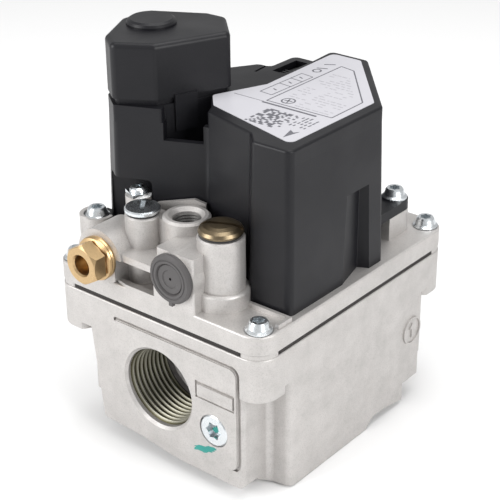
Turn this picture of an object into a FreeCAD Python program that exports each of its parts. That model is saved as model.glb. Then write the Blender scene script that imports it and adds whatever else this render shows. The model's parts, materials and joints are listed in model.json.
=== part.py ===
"""Two-stage gas control valve: die-cast body with threaded ports, servo regulators under
screw caps, two solenoid-lifted shut-off valves and a moulded cover with a taller tower."""
import FreeCAD, Part
import math
import os

V = FreeCAD.Vector
Z_AXIS = V(0, 0, 1)

# ---------------------------------------------------------------- driving dimensions (mm)
PLATE_X = 82.3              # flange width, left to right
PLATE_Y = 95.5              # flange depth, inlet face to outlet face
PLATE_R = 7.0               # flange corner radius
BODY_H = 37.8               # lower casting below its flange
TOE = 3.8                   # lowest edge of the front face, above the base
FLANGE_T = 11.4             # flange of the lower casting
GASKET_T = 1.6              # diaphragm sheet between the castings
TOP_T = 6.0                 # base plate of the upper casting
SCREW_INSET = 5.25          # corner screws, in from both edges
PORT_X = 1.4                # port axis, from the centre of the plate
PORT_Z = 26.25              # port axis, above the base
PORT_R = 12.9               # thread root of a 3/4 inch taper pipe thread
PORT_DEPTH = 20.0           # threaded length
BORE_R = 11.5               # plain bore behind the thread
CHAMFER = 0.85              # lead-in of the port thread
TOWER_RISE = 9.0            # platform under the tower, above the plate
BLOCK_RISE = 10.5           # tall front block, above the plate
BOSS_RISE = 21.5            # machined tops of the regulator bosses, above the plate
COVER_H = 50.0              # main cover, above the plate
SHELF_DROP = 5.0            # switch shelf, below the top of the main cover
TOWER_LIFT = 18.0           # top of the tower cap, above the main cover
COVER_WALL = 2.0            # moulded wall
CAP_SEAM = 16.9             # height of the separate tower cap
DRAFT = 1.2                 # how far the cover's foot stands out beyond its top
FIT = 0.1                   # radial running clearance
GAP = 0.3                   # clearance between separate moving pieces
SEAT_R = 6.0                # bore of a shut-off valve seat
VALVE_LIFT = 3.0            # travel of a shut-off valve
COIL_R = 12.0               # flange radius of a coil bobbin
PLUNGER_R = 5.1             # solenoid plunger

LEFT, RIGHT = -PLATE_X / 2, PLATE_X / 2
FRONT, BACK = -PLATE_Y / 2, PLATE_Y / 2

# ---------------------------------------------------------------- levels
FLANGE_TOP = BODY_H + FLANGE_T
PLATE_Z = FLANGE_TOP + GASKET_T          # underside of the upper casting
TOP_Z = PLATE_Z + TOP_T                  # top of its base plate
BLOCK_Z = TOP_Z + BLOCK_RISE
BOSS_Z = TOP_Z + BOSS_RISE
LOW_Z = BOSS_Z - 1.3                     # top of the low-fire boss
PLATFORM_Z = TOP_Z + TOWER_RISE
COVER_Z = TOP_Z + COVER_H
SHELF_Z = COVER_Z - SHELF_DROP
TOWER_Z = COVER_Z + TOWER_LIFT
CAP_Z = TOWER_Z - CAP_SEAM               # seam under the tower cap
POCKET_Z = FLANGE_TOP - 8.4              # floor of the valve pockets
SEAT_Z = POCKET_Z + 2.0                  # top of the raised seats
POCKET_ROOF = PLATE_Z + 3.0              # roof of the recesses in the upper casting
COIL_Z = TOP_Z + 3.0                     # seat of the solenoids under the main cover

# ---------------------------------------------------------------- places on the plate
CORNERS = [(x, y) for x in (LEFT + SCREW_INSET, RIGHT - SCREW_INSET)
           for y in (FRONT + SCREW_INSET, BACK - SCREW_INSET)]
FIRST = (RIGHT - 21.2, FRONT + 37.8)     # first shut-off valve
SECOND = (RIGHT - 33.2, BACK - 23.8)     # second shut-off valve
STAGE = (LEFT + 15.2 + COVER_WALL, FRONT + 36.8)      # stage solenoid in the tower
LOW = (LEFT + 29.2, FRONT + 10.3)        # low-fire regulator, under the zinc cap
HIGH = (RIGHT - 23.9, FRONT + 11.5)      # high-fire regulator, under the brass cap
TAP = (LEFT + 42.0, FRONT + 15.4)        # open tapped boss between them
GROUND = (LEFT + 21.1, FRONT + 17.3)     # earth terminal column
FITTING = (LEFT + 21.0, PLATE_Z + 13.3)  # brass fitting, x and z
VENT = (LEFT + 50.2, PLATE_Z + 15.8)     # vent port, x and z
GAUGE = (RIGHT - 17.9, 20.5)             # pressure tap beside each port, x and z
COVER_SCREWS = [(LEFT + 5.75, FRONT + 14.3, TOP_Z + 7.3), (RIGHT - 12.5, BACK - 12.9, TOP_Z + 7.4)]
EAR_T = 3.2                              # moulded ears under the cover screws
SWITCH = (LEFT + 28.2, BACK - 11.3 - COVER_WALL)      # centre of the on/off slot
SWITCH_TRAVEL = 4.0
SLOT = (4.8, 12.5)                       # slot in the shelf, x by y

BOSS_R = {"low": 5.4, "high": 6.95, "tap": 7.2, "ground": 4.1}
BORE = {"low": 4.3, "high": 5.3}         # bores of the two regulators
HIGH_RING_R = 8.3                        # stepped foot of the brass-capped boss
HIGH_RING_H = 5.6
TAP_BORE = 4.35                          # 1/8 inch pipe thread, minor radius

# Outline of the cover below the shelf, anticlockwise from its front right corner
COVER_OUTLINE = [
    (RIGHT - 3.75, FRONT + 17.0), (RIGHT - 3.55, BACK - 34.9), (RIGHT - 30.1, BACK - 4.3),
    (LEFT + 23.1, BACK - 4.3), (LEFT + 23.1, BACK - 17.1), (LEFT + 18.4, BACK - 17.4),
    (LEFT + 3.6, FRONT + 54.7), (LEFT + 1.35, FRONT + 45.8), (LEFT + 0.95, FRONT + 34.2),
    (LEFT + 7.8, FRONT + 19.8), (LEFT + 15.1, FRONT + 14.5), (RIGHT - 41.0, FRONT + 26.2),
    (RIGHT - 20.9, FRONT + 21.1), (RIGHT - 16.6, FRONT + 16.7)]
# Outline of the raised main block that carries the label
MAIN_OUTLINE = [
    (RIGHT - 3.75, FRONT + 17.0), (RIGHT - 3.55, BACK - 34.9), (RIGHT - 30.1, BACK - 4.3),
    (RIGHT - 44.5, BACK - 4.3), (RIGHT - 42.0, FRONT + 56.4), (RIGHT - 49.3, FRONT + 37.0),
    (RIGHT - 43.0, FRONT + 30.5), (RIGHT - 41.0, FRONT + 26.2), (RIGHT - 20.9, FRONT + 21.1),
    (RIGHT - 16.6, FRONT + 16.7)]
TOWER_OUTLINE = [
    (LEFT + 7.8, FRONT + 19.8), (LEFT + 15.1, FRONT + 14.5), (LEFT + 26.1, FRONT + 21.3),
    (LEFT + 35.7, FRONT + 43.8), (LEFT + 24.7, FRONT + 54.9), (LEFT + 17.8, FRONT + 54.7),
    (LEFT + 1.35, FRONT + 45.8), (LEFT + 0.55, FRONT + 34.2)]
LABEL_OUTLINE = [
    (RIGHT - 7.3, FRONT + 21.7), (RIGHT - 7.0, BACK - 34.3), (RIGHT - 31.3, BACK - 6.5),
    (RIGHT - 42.2, BACK - 6.5), (RIGHT - 41.2, FRONT + 54.1), (RIGHT - 48.2, FRONT + 37.0),
    (RIGHT - 42.6, FRONT + 30.9)]
# Platform of the upper casting under the tower
PLATFORM_OUTLINE = [
    (LEFT + 1.2, FRONT + 31.0), (LEFT + 5.5, FRONT + 17.5), (LEFT + 16.0, FRONT + 11.0),
    (LEFT + 43.0, FRONT + 22.0), (LEFT + 38.0, FRONT + 57.0), (LEFT + 4.0, FRONT + 56.0),
    (LEFT + 0.7, FRONT + 46.0)]


# ---------------------------------------------------------------- shape helpers
def box(x0, x1, y0, y1, z0, z1):
    return Part.makeBox(x1 - x0, y1 - y0, z1 - z0, V(x0, y0, z0))


def cylinder(x, y, z0, z1, r):
    return Part.makeCylinder(r, z1 - z0, V(x, y, z0))


def cylinder_y(x, z, y0, y1, r):
    return Part.makeCylinder(r, y1 - y0, V(x, y0, z), V(0, 1, 0))


def rounded_wire(points, z, radius):
    """Closed outline at height z with every corner rounded as far as its sides allow."""
    count = len(points)
    vertices = [V(x, y, z) for x, y in points]
    starts, mids, ends = [], [], []
    for i, here in enumerate(vertices):
        to_last = vertices[i - 1] - here
        to_next = vertices[(i + 1) % count] - here
        half = to_last.getAngle(to_next) / 2
        room = 0.45 * min(to_last.Length, to_next.Length)
        trim = min(radius / math.tan(half), room)
        used = trim * math.tan(half)
        to_last.normalize()
        to_next.normalize()
        inward = (to_last + to_next).normalize()
        starts.append(here + to_last * trim)
        mids.append(here + inward * (used / math.sin(half) - used))
        ends.append(here + to_next * trim)
    edges = []
    for i in range(count):
        edges.append(Part.Arc(starts[i], mids[i], ends[i]).toShape())
        edges.append(Part.makeLine(ends[i], starts[(i + 1) % count]))
    return Part.Wire(edges)


def prism(points, z0, z1, radius=1.5):
    face = Part.Face(rounded_wire(points, z0, radius))
    return face.extrude(V(0, 0, z1 - z0))


def prism_y(points, y0, y1, radius=1.5):
    """Block between two planes across Y, from (x, z) pairs."""
    solid = prism(points, 0, y1 - y0, radius)
    solid.rotate(V(0, 0, 0), V(1, 0, 0), 90)
    solid.translate(V(0, y1, 0))
    return solid


def soften(solid, z, radius):
    """Fillet on every edge that lies at height z."""
    rim = [edge for edge in solid.Edges if abs(edge.BoundBox.ZMin - z) < 0.01
           and abs(edge.BoundBox.ZMax - z) < 0.01]
    return solid.makeFillet(radius, rim)


def offset(points, grow):
    """Polygon with every side moved outwards by grow (anticlockwise points)."""
    moved = []
    count = len(points)
    for i, (x, y) in enumerate(points):
        ax, ay = points[i - 1]
        bx, by = points[(i + 1) % count]
        d1 = V(x - ax, y - ay, 0).normalize()
        d2 = V(bx - x, by - y, 0).normalize()
        n1, n2 = V(d1.y, -d1.x, 0), V(d2.y, -d2.x, 0)
        scale = grow / (1 + n1.dot(n2))
        moved.append((x + (n1.x + n2.x) * scale, y + (n1.y + n2.y) * scale))
    return moved


def drafted(points, z0, z1, grow, radius=1.5):
    """Moulded block whose foot stands out by grow beyond its top."""
    foot = rounded_wire(offset(points, grow), z0, radius)
    head = rounded_wire(points, z1, radius)
    return Part.makeLoft([foot, head], True, True)


def turned(x, y, profile):
    """Solid turned about a vertical axis from (radius, height) pairs."""
    points = [V(x + r, y, z) for r, z in profile]
    wire = Part.makePolygon(points + points[:1])
    return Part.Face(wire).revolve(V(x, y, 0), Z_AXIS, 360)


def turned_y(x, z, profile):
    """Solid turned about an axis along Y from (radius, y) pairs."""
    points = [V(x + r, y, z) for r, y in profile]
    wire = Part.makePolygon(points + points[:1])
    return Part.Face(wire).revolve(V(x, 0, z), V(0, 1, 0), 360)


def post(place, z0, z1, r, edge):
    """Upright boss with its top edge chamfered."""
    return turned(*place, [(0, z0), (r, z0), (r, z1 - edge), (r - edge, z1), (0, z1)])


def tube(x, y, z0, z1, outer, inner):
    return cylinder(x, y, z0, z1, outer).cut(cylinder(x, y, z0 - 1, z1 + 1, inner))


def torus(x, y, z, ring_r, wire_r):
    return Part.makeTorus(ring_r, wire_r, V(x, y, z))


def polygon_prism(x, y, z0, z1, sides, radius, turn=0.0):
    step = 2 * math.pi / sides
    points = [V(x + radius * math.cos(i * step + turn), y + radius * math.sin(i * step + turn), z0)
              for i in range(sides)]
    return Part.Face(Part.makePolygon(points + points[:1])).extrude(V(0, 0, z1 - z0))


def star_prism(x, y, z0, z1, outer, inner):
    """Six-lobed driver recess."""
    points = []
    for i in range(12):
        r = outer if i % 2 == 0 else inner
        points.append(V(x + r * math.cos(i * math.pi / 6), y + r * math.sin(i * math.pi / 6), z0))
    return Part.Face(Part.makePolygon(points + points[:1])).extrude(V(0, 0, z1 - z0))


def fused(*shapes):
    return shapes[0].multiFuse(list(shapes[1:])).removeSplitter()


def coil_spring(x, y, z0, z1, ring_r, wire_r, turns):
    """Helical compression spring that stands between z0 and z1."""
    height = z1 - z0 - 2 * wire_r
    helix = Part.makeHelix(height / turns, height, ring_r)
    helix.translate(V(x, y, z0 + wire_r))
    section = Part.Wire(Part.makeCircle(wire_r, V(x + ring_r, y, z0 + wire_r), V(0, 1, 0)))
    return Part.Wire(helix).makePipeShell([section], True, True)


def export(name, shape):
    if not shape.isValid():
        raise ValueError(name + " is not a valid solid")
    shape.exportStep("parts/" + name + ".step")
    print("%-24s %2d solids %9.1f mm3" % (name, len(shape.Solids), shape.Volume))


# ---------------------------------------------------------------- castings
def plate_outline():
    return [(RIGHT, FRONT), (RIGHT, BACK), (LEFT, BACK), (LEFT, FRONT)]


NOTCH_BACK = 12.2                        # corner notches at the outlet end
PAD_DROP = 2.5                           # screw corners hang this far below the flange
DATUM_R = 6.0                            # round foot under the middle of the casting


def lower_block():
    """Block below the flange: stepped end blocks, flush right side, notched corners."""
    right = RIGHT - 0.25
    column = RIGHT - 7.4
    depth = 9.9
    outline = [(right, FRONT + 13.5), (right, BACK - NOTCH_BACK), (column, BACK - NOTCH_BACK),
               (column, BACK), (LEFT + 15.0, BACK), (LEFT + 15.0, BACK - depth),
               (LEFT + 4.5, BACK - depth), (LEFT + 4.5, FRONT + depth),
               (LEFT + 15.5, FRONT + depth), (LEFT + 15.5, FRONT + 2), (column, FRONT + 2),
               (column, FRONT + 12.3)]
    core = prism(outline, TOE + 3.5, BODY_H + 1, 2.2)
    front_face = [(LEFT + 14.9, BODY_H + 1), (LEFT + 18.7, TOE + 2.8), (PORT_X - 7.7, TOE + 2.0),
                  (PORT_X + 2.6, TOE + 0.5), (PORT_X + 8.4, TOE), (column, TOE), (column, BODY_H + 1)]
    front = prism_y(front_face, FRONT, FRONT + 26, 1.0)
    rounding = [(LEFT + 10.0, FRONT), (column, FRONT), (column, FRONT + 26), (LEFT + 10.0, FRONT + 26)]
    front = front.common(prism(rounding, 0, BODY_H + 1, 2.2))
    right_face = [(FRONT + 7.0, TOE), (FRONT + 12.0, 0.7), (FRONT + 17.5, 0.0), (FRONT + 52.8, 0.0),
                  (FRONT + 55.6, 2.3), (FRONT + 57.2, 3.1), (FRONT + 64.2, 2.7), (FRONT + 73.2, 1.1),
                  (FRONT + 73.2, BODY_H + 1), (FRONT + 7.0, BODY_H + 1)]
    wire = Part.makePolygon([V(right - 22, y, z) for y, z in right_face + right_face[:1]])
    side = Part.Face(wire).extrude(V(22, 0, 0)).common(prism(outline, 0, BODY_H + 1, 2.2))
    feet = [cylinder(LEFT + 9.5, y, 0, TOE + 5, 4.0) for y in (FRONT + 17.0, BACK - 17.0)]
    outlet_foot = box(PORT_X - 4, column - 2, BACK - 22, BACK - 6, 0, TOE + 5)
    datum = cylinder(0, 0, 0, TOE + 5, DATUM_R)
    return fused(core, front, side, outlet_foot, datum, *feet)


def pad_outline():
    top = BODY_H + 6.4
    return [(LEFT + 24.5, TOE + 4.0), (RIGHT - 14.0, TOE + 4.0), (RIGHT - 9.2, TOE + 7.0),
            (RIGHT - 9.2, top), (LEFT + 24.5, top)]


def port_pad(y0, y1):
    """Machined pad round a port, just proud of the casting."""
    return prism_y(pad_outline(), y0, y1, 2.6)


def pad_groove():
    """Engraved line outside the top and the right side of the inlet's pad."""
    ring = prism_y(offset(pad_outline(), 1.0), FRONT - 1, FRONT + 0.8, 3.2)
    ring = ring.cut(prism_y(offset(pad_outline(), 0.2), FRONT - 2, FRONT + 2, 2.8))
    return ring.common(box(LEFT + 25.0, RIGHT, FRONT - 1, FRONT + 1, TOE + 5.5, PLATE_Z))


PAD_T = 0.5                              # the port pads stand out this far
PORT_FACES = (FRONT - PAD_T, BACK + PAD_T)


def port_cut(side):
    """Chamfer, thread root and plain bore of one port; side is -1 at the front, 1 behind."""
    mouth = PORT_FACES[0] if side < 0 else PORT_FACES[1]
    end = FIRST[1] - 5.0 if side < 0 else SECOND[1] - 11.0
    thread = mouth - side * PORT_DEPTH
    profile = [(0, mouth + side), (PORT_R + CHAMFER + 1, mouth + side), (PORT_R, mouth - side * CHAMFER),
               (PORT_R, thread), (BORE_R, thread - side), (BORE_R, end), (0, end)]
    return turned_y(PORT_X, PORT_Z, profile)


def valve_pocket(place, radius):
    """Round pocket with a raised seat ring left standing on its floor."""
    x, y = place
    pocket = cylinder(x, y, POCKET_Z, FLANGE_TOP + 1, radius)
    ring = tube(x, y, POCKET_Z - 1, SEAT_Z, SEAT_R + 1.5, SEAT_R)
    return pocket.cut(ring)


FIRST_POCKET_R, SECOND_POCKET_R = 16.0, 17.0
RISER_R = 4.5
PASSAGE_Z = TOE + 14.0


def gas_passages():
    """Seat bores and the channel from the first valve up into the second valve's pocket."""
    x1, y1 = FIRST
    x2, y2 = SECOND
    riser = (x2 + 12.5, y2 - 4.0)
    seat_first = cylinder(x1, y1, PASSAGE_Z - 4, SEAT_Z + 1, SEAT_R)
    seat_second = cylinder(x2, y2, PORT_Z, SEAT_Z + 1, SEAT_R)
    run = V(riser[0] - x1, riser[1] - y1, 0)
    channel = Part.makeCylinder(RISER_R + 0.5, run.Length, V(x1, y1, PASSAGE_Z), run)
    rise = cylinder(riser[0], riser[1], PASSAGE_Z, POCKET_Z + 1, RISER_R)
    inlet = cylinder(x1, y1, PORT_Z, POCKET_Z + 0.5, FIRST_POCKET_R)
    inlet = inlet.common(box(PORT_X, x1 - 4, FRONT, y1 - 5, PORT_Z, POCKET_Z + 1))
    inlet = inlet.cut(cylinder(x1, y1, 0, SEAT_Z, SEAT_R + 2.0))
    return [seat_first, seat_second, channel, rise, inlet]


def sensing_hole(place, radius):
    """Shallow chamber under a regulator diaphragm."""
    return cylinder(place[0], place[1], FLANGE_TOP - 3.4, FLANGE_TOP + 1, radius)


SCREW_R = 2.0
SCREW_DEPTH = 14.0


PAD_R = 5.5                              # corner pads round the body screws
STAMP_Z = TOE + 27.0


def ring_mark():
    """Mould date ring with its arrow on the right side."""
    x, y, z = RIGHT - 0.3, BACK - 18.4, TOE + 21.9
    ring = Part.makeCylinder(4.75, 0.55, V(x, y, z), V(1, 0, 0))
    ring = ring.cut(Part.makeCylinder(4.25, 2, V(x - 1, y, z), V(1, 0, 0)))
    shaft = box(x, x + 0.5, y - 0.3, y + 0.3, z - 2.6, z + 1.2)
    corner = V(x, y - 1.5, z + 0.8)
    tip = Part.makePolygon([corner, V(x, y + 1.5, z + 0.8), V(x, y, z + 2.8), corner])
    return [ring, shaft, Part.Face(tip).extrude(V(0.5, 0, 0))]


def lower_body():
    flange = soften(prism(plate_outline(), BODY_H, FLANGE_TOP, PLATE_R), FLANGE_TOP, 0.4)
    pad = prism(offset(plate_outline(), -0.3), FLANGE_TOP - 1, PLATE_Z - 0.25, PLATE_R - 0.3)
    corner_pads = [pad.common(cylinder(x, y, BODY_H, PLATE_Z, PAD_R)) for x, y in CORNERS]
    hanging = prism(plate_outline(), BODY_H - PAD_DROP, BODY_H + 1, PLATE_R)
    corner_pads += [hanging.common(cylinder(x, y, 0, PLATE_Z, 7.5)) for x, y in CORNERS]
    pads = [port_pad(PORT_FACES[0], FRONT + 1), port_pad(BACK - 1, PORT_FACES[1])]
    solid = fused(flange, lower_block(), *corner_pads, *pads)
    stamp = box(RIGHT - 23.7, RIGHT - 10.3, PORT_FACES[0] - 0.35, FRONT, STAMP_Z, STAMP_Z + 4.0)
    solid = fused(solid, stamp, *ring_mark())
    frame = box(RIGHT - 24.6, RIGHT - 9.9, PORT_FACES[0] - 1, PORT_FACES[0] + 0.6, STAMP_Z - 0.9,
                STAMP_Z + 4.9)
    frame = frame.cut(box(RIGHT - 23.8, RIGHT - 10.2, FRONT - 3, FRONT + 3, STAMP_Z - 0.1, STAMP_Z + 4.1))
    cuts = [port_cut(-1), port_cut(1), pad_groove(), frame, valve_pocket(FIRST, FIRST_POCKET_R),
            valve_pocket(SECOND, SECOND_POCKET_R), sensing_hole(LOW, 6.0), sensing_hole(HIGH, 6.0)]
    cuts += gas_passages()
    cuts += [cylinder(x, y, PLATE_Z - SCREW_DEPTH, PLATE_Z + 1, SCREW_R + 0.05) for x, y in CORNERS]
    x, z = GAUGE
    for y0, y1 in ((PORT_FACES[0] - 1, FRONT + 7.0), (BACK - 7.0, PORT_FACES[1] + 1)):
        cuts.append(cylinder_y(x, z, y0, y1, 4.35))
    cuts.append(cylinder_y(x, z, PORT_FACES[0] - 1, PORT_FACES[0] + 1.2, 5.35))
    cuts.append(cylinder_y(x, z, PORT_FACES[1] - 1.2, PORT_FACES[1] + 1, 5.35))
    return solid.cut(cuts)


def body_gasket():
    sheet = prism(offset(plate_outline(), -0.4), FLANGE_TOP, PLATE_Z, PLATE_R - 0.4)
    cuts = [cylinder(x, y, BODY_H, TOP_Z, PAD_R + 0.3) for x, y in CORNERS]
    cuts += [cylinder(*FIRST, BODY_H, TOP_Z, FIRST_POCKET_R)]
    cuts += [cylinder(*SECOND, BODY_H, TOP_Z, SECOND_POCKET_R)]
    cuts += [cylinder(*LOW, BODY_H, TOP_Z, 6.0), cylinder(*HIGH, BODY_H, TOP_Z, 6.0)]
    return sheet.cut(cuts)


DIAPHRAGM_R = 7.8
COLUMN_R = 4.5                           # pedestals under the cover screws
EAR_R = 4.1                              # moulded ears under the cover screws


def front_block(grow=0.0):
    """Tall block behind the front face that the low-fire and tapped bosses rise from."""
    back = FRONT + 20.0
    outline = [(LEFT + 14.0, FRONT + 9.0), (LEFT + 21.0, FRONT + 2.4), (LEFT + 31.0, FRONT),
               (VENT[0] + 7.5, FRONT), (VENT[0] + 7.5, back), (LEFT + 14.0, back)]
    return prism(offset(outline, grow), PLATE_Z, BLOCK_Z + grow, 1.0)


def fin():
    """Thin cast wall between the open boss and the cover's slanting front."""
    top = [(12.5, PLATE_Z), (12.5, BOSS_Z - 1.5), (14.0, BOSS_Z - 0.9), (25.0, BOSS_Z + 1.3),
           (28.5, BOSS_Z + 0.1), (28.5, PLATE_Z)]
    wire = Part.makePolygon([V(along, -2.6, z) for along, z in top + top[:1]])
    return wall_frame(Part.Face(wire).extrude(V(0, 1.1, 0)))


def rough_mass():
    """Low shoulder between the left pedestal and the front block."""
    outline = [(LEFT + 7.0, FRONT + 12.0), (LEFT + 15.0, FRONT + 7.5), (LEFT + 20.0, FRONT + 8.0),
               (LEFT + 20.0, FRONT + 17.0), (LEFT + 8.0, FRONT + 19.0)]
    return prism(outline, PLATE_Z, COVER_SCREWS[0][2] - 0.1, 1.6)


def boss_bodies():
    """Everything that stands on the plate of the upper casting, before any hole is cut."""
    vent = prism([(VENT[0] - 6.4, FRONT), (VENT[0] + 7.5, FRONT), (VENT[0] + 7.5, FRONT + 14.0),
                  (VENT[0] - 6.4, FRONT + 14.0)], PLATE_Z, VENT[1] + 7.8, 0.6)
    return [
        front_block(), vent,
        cylinder_y(VENT[0], VENT[1], FRONT - 0.4, FRONT + 8, 7.9),
        cylinder_y(FITTING[0], FITTING[1], FRONT - 0.4, FRONT + 12, 8.8),
        post(LOW, PLATE_Z, LOW_Z, BOSS_R["low"], 0.5),
        post(TAP, PLATE_Z, BOSS_Z, BOSS_R["tap"], 0.7),
        post(HIGH, PLATE_Z, BOSS_Z, BOSS_R["high"], 0.5),
        soften(cylinder(*HIGH, PLATE_Z, TOP_Z + HIGH_RING_H, HIGH_RING_R), TOP_Z + HIGH_RING_H, 1.1),
        fin(), rough_mass(),
        cylinder(*GROUND, PLATE_Z, BOSS_Z, BOSS_R["ground"]),
        box(LOW[0], TAP[0], LOW[1] + 1, TAP[1] + 1, TOP_Z, LOW_Z - 0.6),
        box(TAP[0], HIGH[0], TAP[1], HIGH[1] + 8.0, TOP_Z, BOSS_Z - 5.0),
        prism(PLATFORM_OUTLINE, PLATE_Z, PLATFORM_Z, 2.0),
        cylinder(FIRST[0], FIRST[1], PLATE_Z, COIL_Z, 9.0),
        cylinder(SECOND[0], SECOND[1], PLATE_Z, COIL_Z, 9.0),
    ]


def screw_columns(grow=0.0):
    """Pedestals that carry the cover's two screw ears."""
    (x0, y0, z0), (x1, y1, z1) = COVER_SCREWS
    r = COLUMN_R + grow
    web = box(x1 - r, x1 + r, y1 - 9.0 - grow, y1, PLATE_Z, z1 + grow / 3)
    return [cylinder(x0, y0, PLATE_Z, z0 + grow / 3, r), cylinder(x1, y1, PLATE_Z, z1 + grow / 3, r), web]


def pedestal_rim():
    """Cast rim that stands round the front of the left screw's ear."""
    x, y, z = COVER_SCREWS[0]
    rim = tube(x, y, PLATE_Z, z + EAR_T + 1.3, 5.5, EAR_R + 0.15)
    return rim.cut(box(x - 7, x + 7, y + 1.5, y + 8, TOP_Z, COVER_Z))


def corner_ribs():
    """Low ribs that close off the front right screw recess."""
    right, front = RIGHT - 0.9, FRONT + 13.6
    return [box(HIGH[0] + 5, right, front, front + 1.1, TOP_Z, TOP_Z + 1.4),
            box(right - 1.1, right, front - 5.0, front + 1.1, TOP_Z, TOP_Z + 1.4)]


def front_pocket():
    """Window in the tall front wall that shows the low-fire boss running down behind it."""
    window = box(LEFT + 27.0, VENT[0] - 8.0, FRONT - 1, FRONT + 9.0, TOP_Z + 1.0, BLOCK_Z - 2.2)
    behind = box(LEFT + 27.0, VENT[0] - 8.0, FRONT + 2.2, FRONT + 9.0, TOP_Z - 1.0, TOP_Z + 2.0)
    column = cylinder(*LOW, PLATE_Z, BOSS_Z, BOSS_R["low"])
    return window.fuse(behind).cut(column)


def upper_body():
    plate = soften(prism(plate_outline(), PLATE_Z, TOP_Z, PLATE_R), TOP_Z, 0.6)
    solid = fused(plate, *boss_bodies(), *screw_columns(), *corner_ribs(), pedestal_rim())
    cuts = [front_pocket()]
    for place, key in ((LOW, "low"), (HIGH, "high")):
        cuts.append(cylinder(*place, PLATE_Z - 1, BOSS_Z + 1, BORE[key]))
        cuts.append(cylinder(*place, PLATE_Z - 1, PLATE_Z + 3.8, DIAPHRAGM_R + 0.2))
    cuts.append(cylinder(*TAP, TOP_Z + 4, BOSS_Z + 1, TAP_BORE))
    cuts.append(Part.makeCone(TAP_BORE, TAP_BORE + 1.1, 1.1, V(TAP[0], TAP[1], BOSS_Z - 1.1)))
    cuts.append(cylinder(*GROUND, TOP_Z + 6, BOSS_Z + 1, SCREW_R + 0.05))
    cuts.append(cylinder_y(FITTING[0], FITTING[1], FRONT - 2, FRONT + 10, 4.85))
    cuts.append(cylinder_y(VENT[0], VENT[1], FRONT - 2, FRONT + 3.5, 5.5))
    cuts.append(cylinder_y(VENT[0], VENT[1], FRONT, FRONT + 12.0, 1.5))
    for place in (FIRST, SECOND):
        cuts.append(cylinder(*place, PLATE_Z - 1, COIL_Z, 2.6))
        cuts.append(cylinder(*place, COIL_Z - 4.3, COIL_Z + 1, PLUNGER_R + 0.2))
        cuts.append(cylinder(*place, PLATE_Z - 1, POCKET_ROOF, 9.5))
    cuts.append(cylinder(*STAGE, PLATE_Z + 6.0, PLATFORM_Z + 1, PLUNGER_R + 0.2))
    cuts.append(cylinder(*STAGE, PLATE_Z - 1, PLATE_Z + 7.0, 1.5))
    for x, y in CORNERS:
        cuts.append(cylinder(x, y, PLATE_Z - 1, TOP_Z + 1, SCREW_R + 0.2))
        cuts.append(cylinder(x, y, TOP_Z - 0.3, COVER_Z, 4.3))
    for x, y, z in COVER_SCREWS:
        cuts.append(cylinder(x, y, z - 8.0, z + 1, SCREW_R + 0.05))
    return solid.cut(cuts)


# ---------------------------------------------------------------- fasteners and fittings
def pan_screw(x, y, seat, length, head_r=4.05, head_h=3.4):
    """Flanged pan-head screw with a six-lobed recess; seat is the height under its head."""
    top = seat + head_h
    profile = [(0, seat - length), (SCREW_R - 0.4, seat - length), (SCREW_R, seat - length + 0.6),
               (SCREW_R, seat), (head_r, seat), (head_r, seat + 0.7), (head_r - 0.7, seat + 1.3),
               (head_r - 1.2, top - 0.5), (head_r - 1.6, top), (0, top)]
    return turned(x, y, profile).cut(star_prism(x, y, top - 1.9, top + 1, 1.95, 1.4))


def body_screws():
    seat = TOP_Z - 0.3
    return Part.makeCompound([pan_screw(x, y, seat, 13.0) for x, y in CORNERS])


def cover_screws():
    return Part.makeCompound([pan_screw(x, y, z + EAR_T, 9.0) for x, y, z in COVER_SCREWS])


def gauge_plug(side):
    """Threaded pressure-tap plug, set flush in its pad."""
    x, z = GAUGE
    face = PORT_FACES[0] if side < 0 else PORT_FACES[1]
    back = face - side * 7.0
    profile = [(0, face), (4.7, face), (5.25, face - side * 0.5), (5.25, face - side * 1.15),
               (4.3, face - side * 1.15), (4.3, back), (0, back)]
    plug = turned_y(x, z, profile)
    socket = star_prism(0, 0, 0, 2.6, 3.0, 2.2)
    socket.rotate(V(0, 0, 0), V(1, 0, 0), -90)
    socket.translate(V(x, face - 0.6 if side < 0 else face - 2.0, z))
    return plug.cut(socket)


def brass_fitting():
    """Hexagonal compression fitting with a collar and a through bore."""
    x, z = FITTING
    face = FRONT - 8.2
    hexagon = polygon_prism(0, 0, 0, 4.6, 6, 6.6, math.pi / 6)
    hexagon.rotate(V(0, 0, 0), V(1, 0, 0), -90)
    hexagon.translate(V(x, face, z))
    crown = turned_y(x, z, [(0, face), (5.6, face), (6.9, face + 1.2), (6.9, face + 4.6), (0, face + 4.6)])
    hexagon = hexagon.common(crown)
    collar = turned_y(x, z, [(0, face + 4.4), (5.2, face + 4.4), (5.4, face + 5.0), (6.7, face + 5.5),
                             (6.9, face + 6.1), (6.6, face + 6.6), (6.8, face + 7.2), (6.7, FRONT - 0.4),
                             (4.8, FRONT - 0.4), (4.8, FRONT + 8.0), (0, FRONT + 8.0)])
    bore = turned_y(x, z, [(0, face - 1), (4.2, face - 1), (3.1, face + 0.6), (3.1, face + 7.0),
                           (1.6, face + 8.5), (1.6, FRONT + 9.0), (0, FRONT + 9.0)])
    return fused(hexagon, collar).cut(bore)


def vent_plug():
    """Dished plastic vent cap with a pin-hole and a moulding nub at its lower edge."""
    x, z = VENT
    face = FRONT - 0.4
    cap = turned_y(x, z, [(0, face - 1.0), (2.6, face - 1.0), (2.8, face - 1.25), (4.4, face - 1.25),
                          (4.6, face - 1.0), (5.0, face - 1.7), (5.7, face - 1.7), (5.85, face - 1.5),
                          (6.05, face - 1.5), (6.2, face - 1.7), (7.0, face - 1.7), (7.6, face - 1.1),
                          (7.6, face), (5.4, face), (5.4, face + 3.2), (4.2, face + 3.2),
                          (4.2, face + 0.4), (0, face + 0.4)])
    nub = box(x - 0.7, x + 0.7, face - 1.2, face, z - 8.6, z - 7.2)
    return fused(cap, nub).cut(cylinder_y(x, z, face - 3, face + 2, 0.45))


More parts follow.
